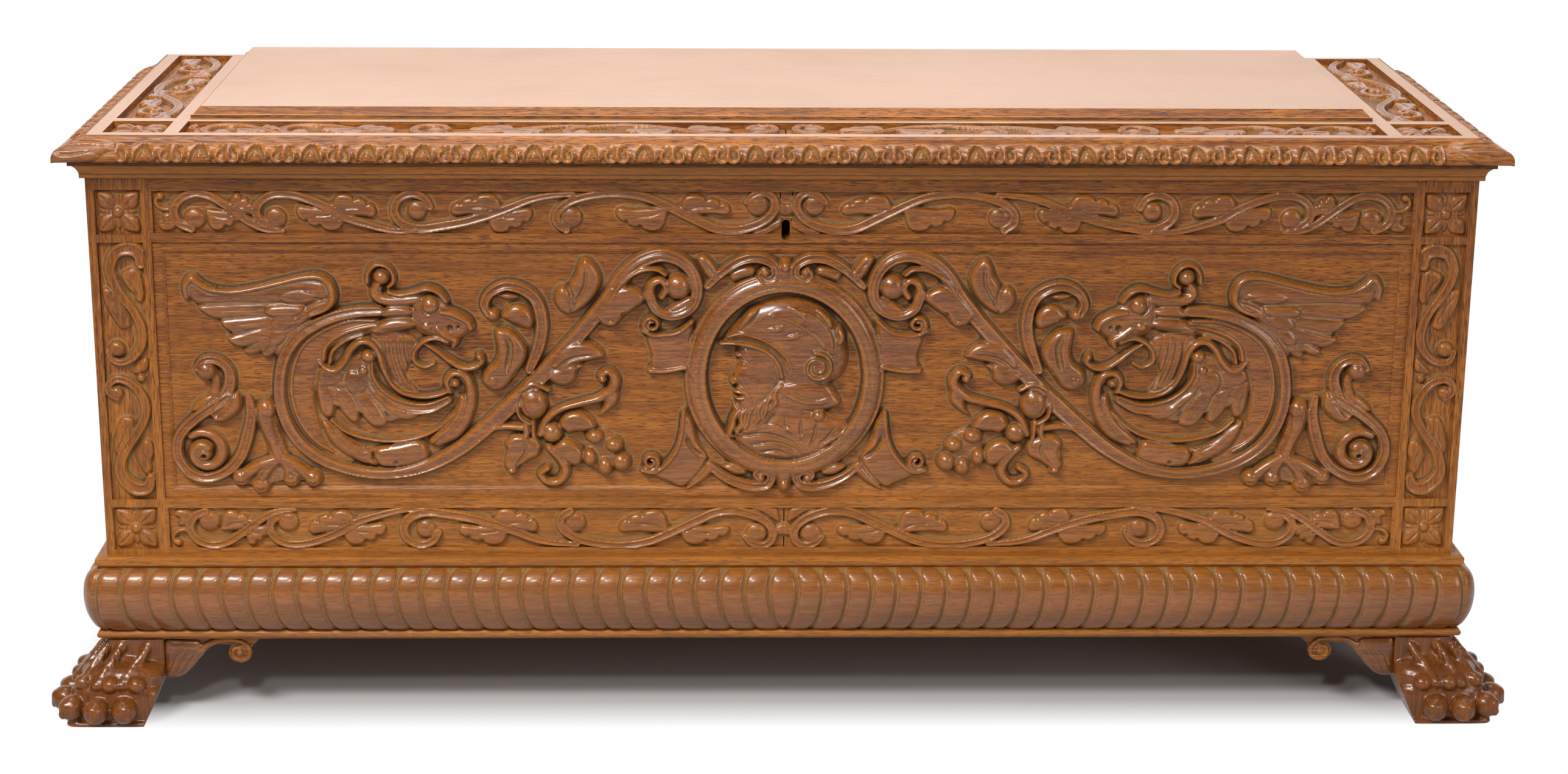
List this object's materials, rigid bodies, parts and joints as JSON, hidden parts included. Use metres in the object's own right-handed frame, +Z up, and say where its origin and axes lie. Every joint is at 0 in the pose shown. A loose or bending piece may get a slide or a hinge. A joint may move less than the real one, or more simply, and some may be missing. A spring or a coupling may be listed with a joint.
{
  "type": "carved cassone",
  "caption": "Carved walnut chest on four paw feet, with framed front panel, gadrooned base, hinged lid with raised panel, and a sliding-bolt chest lock.",
  "frame": {"origin": "on the floor, under the middle of the chest", "axes": "+X along the front to the viewer's right, +Y from the front to the back, +Z up"},
  "size_m": [1.658, 0.638, 0.6828],
  "materials": {
    "walnut": "waxed walnut, orange-brown, satin gloss",
    "walnut_carved": "waxed carved walnut, darker in the recesses",
    "walnut_top": "worn dusty walnut, paler than the front",
    "inner_wood": "plain unpolished wood",
    "iron": "dark wrought iron"
  },
  "bodies": {
    "case": {"front_stile_left": "walnut", "front_stile_right": "walnut", "front_top_rail": "walnut", "front_bottom_rail": "walnut", "front_panel": "walnut_carved", "panel_border": "walnut", "side_stile_front_left": "walnut", "side_stile_front_right": "walnut", "side_stile_rear_left": "walnut", "side_stile_rear_right": "walnut", "side_top_rail_left": "walnut", "side_top_rail_right": "walnut", "side_bottom_rail_left": "walnut", "side_bottom_rail_right": "walnut", "side_panel_left": "walnut", "side_panel_right": "walnut", "back_stile_left": "inner_wood", "back_stile_right": "inner_wood", "back_top_rail": "inner_wood", "back_bottom_rail": "inner_wood", "back_muntin": "inner_wood", "back_panel_left": "inner_wood", "back_panel_right": "inner_wood", "floor_boards": "inner_wood", "floor_ledgers": "inner_wood", "corner_blocks": "inner_wood", "foot_dowels": "inner_wood", "base_moulding_front": "walnut_carved", "base_moulding_left": "walnut_carved", "base_moulding_right": "walnut_carved", "cornice_front": "walnut", "cornice_left": "walnut", "cornice_right": "walnut", "paw_foot_front_left": "walnut_carved", "paw_foot_front_right": "walnut_carved", "paw_foot_rear_left": "walnut_carved", "paw_foot_rear_right": "walnut_carved", "front_brackets": "walnut_carved", "side_brackets": "walnut_carved", "hinge_case_leaves": "iron", "hinge_case_screws": "iron", "hinge_pins": "iron", "lock_case": "iron", "lock_screws": "iron"},
    "lid": {"lid_front_rail": "walnut", "lid_end_rail_left": "walnut", "lid_end_rail_right": "walnut", "lid_back_rail": "walnut", "lid_core_panel": "walnut_top", "lid_raised_panel": "walnut_top", "lid_battens": "inner_wood", "lid_moulding_front": "walnut_carved", "lid_moulding_left": "walnut_carved", "lid_moulding_right": "walnut_carved", "hinge_lid_leaves": "iron", "hinge_lid_screws": "iron", "strike_plate": "iron", "strike_screws": "iron"},
    "bolt": {"lock_bolt": "iron"}
  },
  "joints": [
    {"name": "lid_hinge", "type": "hinge", "parent": "case", "child": "lid", "pos_m": [0, 0.254, 0.6454], "axis": [-1, 0, 0], "range_deg": [0, 100]},
    {"name": "lock_bolt_slide", "type": "slide", "parent": "case", "child": "bolt", "axis": [1, 0, 0], "range_m": [0, 0.012]}
  ]
}
